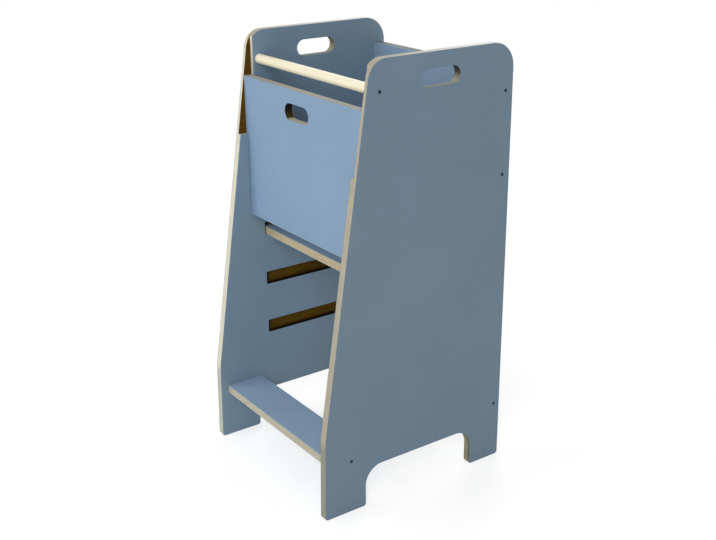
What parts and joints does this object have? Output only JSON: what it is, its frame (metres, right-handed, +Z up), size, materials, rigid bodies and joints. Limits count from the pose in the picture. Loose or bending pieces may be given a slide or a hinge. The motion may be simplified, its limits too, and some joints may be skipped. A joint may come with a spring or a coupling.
{
  "type": "kitchen helper tower",
  "caption": "Plywood helper tower for a small child: tall sides, a low step, a standing platform in slots, a lift-out gate, a back panel and dowel rails.",
  "frame": {"origin": "centre of the footprint, on the floor under the feet", "axes": "+Z up, -Y to the front with the gate and the step, +X to the right side panel as seen from the front"},
  "size_m": [0.436, 0.4519, 0.9],
  "materials": {
    "side_board": "blue-grey laminate on birch plywood, satin",
    "cross_board": "blue laminate on birch plywood, satin",
    "gate_board": "light blue laminate on birch plywood, satin",
    "bare_wood": "turned hardwood, clear lacquer",
    "black_screw": "black, satin",
    "beech_pin": "plain"
  },
  "bodies": {
    "tower": {"left_side_panel": "side_board", "right_side_panel": "side_board", "back_panel": "cross_board", "step_board": "cross_board", "front_rail": "bare_wood", "rear_rail": "bare_wood", "left_front_rail_screw": "black_screw", "right_front_rail_screw": "black_screw", "left_rear_rail_screw": "black_screw", "right_rear_rail_screw": "black_screw", "left_step_screw": "black_screw", "right_step_screw": "black_screw", "left_upper_back_screw": "black_screw", "right_upper_back_screw": "black_screw", "left_lower_back_screw": "black_screw", "right_lower_back_screw": "black_screw", "left_front_step_pin": "beech_pin", "right_front_step_pin": "beech_pin", "left_rear_step_pin": "beech_pin", "right_rear_step_pin": "beech_pin"},
    "gate": {"safety_gate": "gate_board"},
    "standing_platform": {"platform": "side_board"}
  },
  "joints": [
    {"name": "gate_lift", "type": "slide", "parent": "tower", "child": "gate", "axis": [0, 0, 1], "range_m": [0, 0.39]},
    {"name": "platform_draw", "type": "slide", "parent": "tower", "child": "standing_platform", "axis": [0, 1, 0], "range_m": [0, 0.325]}
  ]
}
